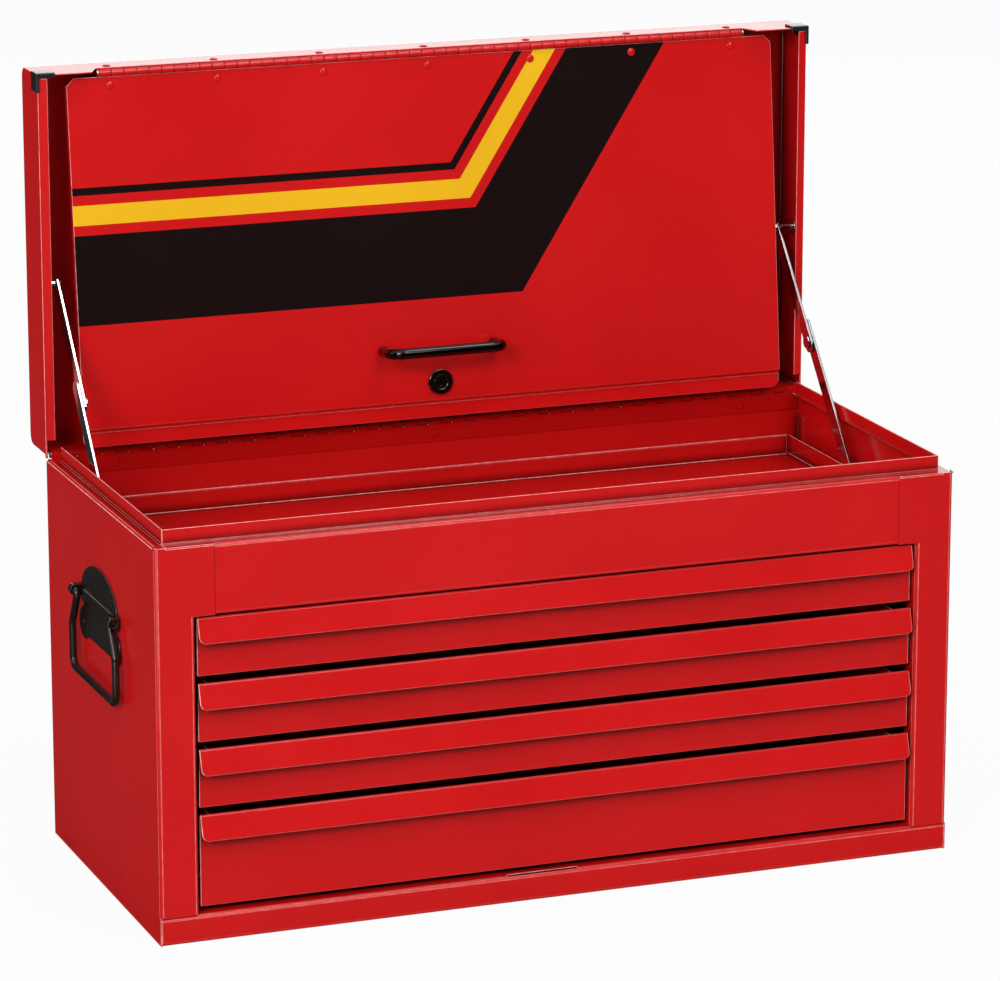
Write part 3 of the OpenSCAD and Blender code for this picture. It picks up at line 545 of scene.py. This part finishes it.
def in_row(piece, unit_shape, count, start, step, turn, finish):
    """The piece with a row of units joined to it."""
    unit = made("unit", unit_shape, finish)
    row = piece.modifiers.new("row", "NODES")
    row.node_group = unit_row
    values = {"Unit": unit, "Count": count, "Start": start, "Step": step, "Turn": turn, "Finish": finish}
    for item in unit_row.interface.items_tree:
        if item.in_out == "INPUT" and item.name in values:
            row[item.identifier] = values[item.name]
    settled(piece)
    bpy.data.objects.remove(unit)
    return piece


def bare(name, finish):
    return made(name, bmesh.new(), finish)


side_wall_x = 0.3288
handle_grip = 0.0027
handle_rivet_y = 0.0425
handle_rivet_z = 0.207
rivets = bare("handle_rivets_domed", black_enamel)
for hand in (-1, 1):
    in_row(rivets, rivet(handle_grip), 2, (hand * side_wall_x, -handle_rivet_y, handle_rivet_z),
           (0, 2 * handle_rivet_y, 0), (0, hand * pi / 2, 0), black_enamel)
fitted(rivets, "cabinet", "black_enamel", "handle_rivets")

# Rear hinge
# A long piano hinge in red-painted steel: 61 rolled knuckles on one wire pin, with a leaf riveted inside the
# back panel and another inside the lid.
rear_axis_y, rear_axis_z = 0.1475, 0.3170
knuckle_radius = 0.0027
leaf_thickness = 0.001
leaf_start = 0.0029
leaf_edge = 0.0021
leaf_width = 0.014
knuckle_gap = 0.0004
leaf_grip = 0.0022
rivet_inset = 0.007
rivet_drop = leaf_start + rivet_inset


def knuckle(length):
    """A rolled knuckle along Z with slightly rounded ends."""
    ease = 0.0004
    rim = [(knuckle_radius - ease, 0), (knuckle_radius, ease), (knuckle_radius, length - ease),
           (knuckle_radius - ease, length)]
    return turned([(0, 0)] + rim + [(0, length)], 14)


def slab(low, high, round_off=0.00025):
    """A flat bar with rounded edges."""
    shape = bmesh.new()
    bmesh.ops.create_cube(shape, size=1)
    middle = (Vector(low) + Vector(high)) / 2
    span = Vector(high) - Vector(low)
    for vertex in shape.verts:
        vertex.co = middle + Vector(c * s for c, s in zip(vertex.co, span))
    bmesh.ops.bevel(shape, geom=shape.edges[:], offset=round_off, segments=2, profile=0.5, affect="EDGES")
    return shape


def hinge_leaf(name, half_width, knuckles, first, finish):
    """A leaf up from an axis at the origin, against y = -knuckle_radius, with every second knuckle."""
    pitch = 2 * half_width / knuckles
    count = (knuckles + 1 - first) // 2
    step = (2 * pitch, 0, 0)
    leaf = made(name, slab((-half_width, -knuckle_radius, leaf_edge),
                           (half_width, leaf_thickness - knuckle_radius, leaf_start + leaf_width)), finish)
    start = -half_width + first * pitch + knuckle_gap / 2
    in_row(leaf, knuckle(pitch - knuckle_gap), count, (start, 0, 0), step, (0, pi / 2, 0), finish)
    lap = 0.0004
    tongue = slab((0, -knuckle_radius, -lap),
                  (pitch - knuckle_gap, leaf_thickness - knuckle_radius, leaf_edge + lap))
    return in_row(leaf, tongue, count, (start, 0, 0), step, (0, 0, 0), finish)


def placed(piece, *moves):
    """The piece with turns and shifts, first to last, worked into its mesh."""
    for move in moves:
        piece.data.transform(move)
    return piece


flip = Matrix.Rotation(pi, 4, "Y")
to_rear_axis = Matrix.Translation((0, rear_axis_y, rear_axis_z))
lid_swing = Matrix.Rotation(radians(-90), 4, "X")
rear_half, rear_knuckles = 0.326, 61
# A darker, dull copy of the red for the rear hinge and the cabinet's hinge rivets: painted shade at the back
# of the chest.
shaded_hinge_paint = powder_coat("shaded_hinge_paint", (0.42, 0.0050, 0.0050, 1), red_edge, 0.60, 0.10, 0.0)
leaf = hinge_leaf("rear_leaf_cabinet_rolled", rear_half, rear_knuckles, 0, shaded_hinge_paint)
fitted(placed(leaf, flip, to_rear_axis), "cabinet", "red_paint", "rear_leaf_cabinet")
leaf = hinge_leaf("rear_leaf_lid_rolled", rear_half, rear_knuckles, 1, shaded_hinge_paint)
fitted(placed(leaf, lid_swing, to_rear_axis), "lid", "red_paint", "rear_leaf_lid")
frame["nodes"]["rear_hinge_pin"].material_slots[0].material = shaded_slide_steel

rear_rivet_pitch = 0.273
back_face_y = 0.1470
lid_wall_face = 0.0005
rear_rivets = bare("rear_rivets_cabinet_domed", shaded_hinge_paint)
in_row(rear_rivets, rivet(leaf_grip), 3, (-rear_rivet_pitch, back_face_y, rear_axis_z - rivet_drop),
       (rear_rivet_pitch, 0, 0), (pi / 2, 0, 0), shaded_hinge_paint)
fitted(rear_rivets, "cabinet", "red_paint", "rear_rivets_cabinet")
rear_rivets = bare("rear_rivets_lid_domed", red_paint)
in_row(rear_rivets, rivet(leaf_grip), 3,
       (-rear_rivet_pitch, rear_axis_y + rivet_drop, rear_axis_z + lid_wall_face), (rear_rivet_pitch, 0, 0),
       (0, 0, 0), red_paint)
fitted(rear_rivets, "lid", "red_paint", "rear_rivets_lid")

# Lid
# One folded sheet with closed ends and a turned-in rim, in the same red coat. Moulded black caps cover the
# sharp corners of the rim.
dressed("lid_shell", red_paint, "red_paint")
black_plastic = enamel("black_plastic", (0.012, 0.011, 0.010, 1), 0.30, 1500.0, 0.2, 0.3)
for side in ("left", "right"):
    dressed(f"lid_cap_{side}", black_plastic, "black_plastic", 0.0009)

# Cover hinge
# A second piano hinge, of 53 knuckles, joins the lid's front edge and the cover, with seven rivets in each
# leaf.
cover_axis_y, cover_axis_z = 0.1600, 0.6206
cover_half = 0.277
cover_knuckles = 53
cover_lean = radians(6)
to_cover_axis = Matrix.Translation((0, cover_axis_y, cover_axis_z))
cover_swing = to_cover_axis @ Matrix.Rotation(-cover_lean, 4, "X")
leaf = hinge_leaf("cover_leaf_lid_rolled", cover_half, cover_knuckles, 0, red_paint)
fitted(placed(leaf, lid_swing, to_cover_axis), "lid", "red_paint", "cover_leaf_lid")
leaf = hinge_leaf("cover_leaf_panel_rolled", cover_half, cover_knuckles, 1, red_paint)
fitted(placed(leaf, Matrix.Rotation(pi, 4, "X"), cover_swing), "cover", "red_paint", "cover_leaf_panel")
frame["nodes"]["cover_hinge_pin"].material_slots[0].material = zinc_steel

cover_rivet_pitch = 0.089
lid_outer_z = 0.6245
lid_rivets = bare("cover_rivets_lid_domed", red_paint)
in_row(lid_rivets, rivet(leaf_grip), 7,
       (-3 * cover_rivet_pitch, cover_axis_y + rivet_drop, lid_outer_z - leaf_grip),
       (cover_rivet_pitch, 0, 0), (0, 0, 0), red_paint)
fitted(lid_rivets, "lid", "red_paint", "cover_rivets_lid")
panel_rivets = bare("cover_rivets_panel_domed", red_paint)
in_row(panel_rivets, rivet(leaf_grip), 7, (-3 * cover_rivet_pitch, knuckle_radius, -rivet_drop),
       (cover_rivet_pitch, 0, 0), (pi / 2, 0, 0), red_paint)
fitted(placed(panel_rivets, cover_swing), "cover", "red_paint", "cover_rivets_panel")

# Cover
# A flat red panel with turned-in sides and a stepped bottom strip. A decal of three kinked stripes is on its
# face.
cover_length = 0.2979
face_depth = 0.0011
stripe_level = 0.098
kink_place = 0.075
decal_black = (0.010, 0.004, 0.004, 1)
decal_yellow = (0.83, 0.48, 0.010, 1)


def striped(pen, place):
    """The coat's red with stripes that run level from the left and then climb to the top edge."""
    at = pen.add("ShaderNodeSeparateXYZ", None, {"Vector": place}, output="X")
    along, deep, high = at, at.beside("Y") - cover_axis_y, at.beside("Z") - cover_axis_z
    rise = high * cos(cover_lean) + deep * sin(cover_lean) + cover_length
    depth = deep * cos(cover_lean) - high * sin(cover_lean)
    climb = radians(56)
    level = rise - stripe_level
    slant = level * cos(climb) - (along - kink_place) * sin(climb)
    way = pen.math("MINIMUM", level, slant)
    face = pen.math("LESS_THAN", depth, face_depth)

    def band(low, high):
        return pen.math("GREATER_THAN", way, low) * pen.math("LESS_THAN", way, high) * face

    coat = pen.mix(band(0.0, 0.072), red, decal_black)
    coat = pen.mix(band(0.080, 0.096), coat, decal_yellow)
    return pen.mix(band(0.104, 0.110), coat, decal_black)


cover_paint = powder_coat("cover_paint", striped, red_edge, 0.20, 0.10, 0.40)
dressed("cover_panel", cover_paint, "red_paint")

# Pull handle
# A bent bar of 9 mm steel in dark chrome, screwed on from behind at 96 mm.


def chromed(name, colour, roughness):
    """Dark chrome with a slight haze."""
    finish, pen = new_finish(name)
    place = pen.add("ShaderNodeTexCoord", output="Object")
    haze = pen.add("ShaderNodeTexNoise", None, {"Vector": place, "Scale": 90.0, "Detail": 3.0})
    dark = tuple(0.7 * c for c in colour[:3]) + (1,)
    tint = pen.mix(haze.ramp(0.35, 0.7), colour, dark)
    rough = roughness + 0.08 * (haze - 0.5)
    shader = pen.add("ShaderNodeBsdfPrincipled", None,
                     {"Base Color": tint, "Metallic": 1.0, "Roughness": rough})
    pen.add("ShaderNodeOutputMaterial", None, {"Surface": shader})
    return finish


black_chrome = chromed("black_chrome", (0.040, 0.038, 0.037, 1), 0.07)
pull_half = 0.048
pull_drop = 0.240
pull_out = -0.0260
cover_face = 0.0005
pull_bend = 0.011
pull_radius = 0.0045
path = cornered([(-pull_half, cover_face, -pull_drop), (-pull_half, pull_out, -pull_drop),
                 (pull_half, pull_out, -pull_drop), (pull_half, cover_face, -pull_drop)],
                (pull_bend, pull_bend), 12)
pull = made("pull_handle_bar", round_bar(path, [pull_radius] * len(path), 28), black_chrome)
fitted(placed(pull, cover_swing), "cover", "black_chrome", "pull_handle")
dressed("pull_screws", zinc_steel, "zinc_steel")

# Lock
# A cam lock with a dark chrome bezel, held by a nut behind the cover. The key turns the plug and the cam on
# its end.
lock_chrome = chromed("lock_chrome", (0.11, 0.10, 0.08, 1), 0.16)
dressed("lock_housing", lock_chrome, "black_chrome", 0.0008)
dressed("lock_plug", lock_chrome, "zinc_steel", 0.0003)
for node in ("lock_nut", "lock_cam"):
    dressed(node, zinc_steel, "zinc_steel", 0.0003)

# Stays
# Two flat zinc-plated links on each side, riveted together at the elbow and hung on studs in the till and in
# the lid.
stay_steel = plated("stay_steel", (0.60, 0.60, 0.62, 1), 0.12, (900, 40, 900))
for side in ("left", "right"):
    for node in (f"stay_lower_{side}", f"stay_upper_{side}", f"foot_stud_{side}", f"lid_stud_{side}"):
        dressed(node, stay_steel, "zinc_steel", 0.0003)
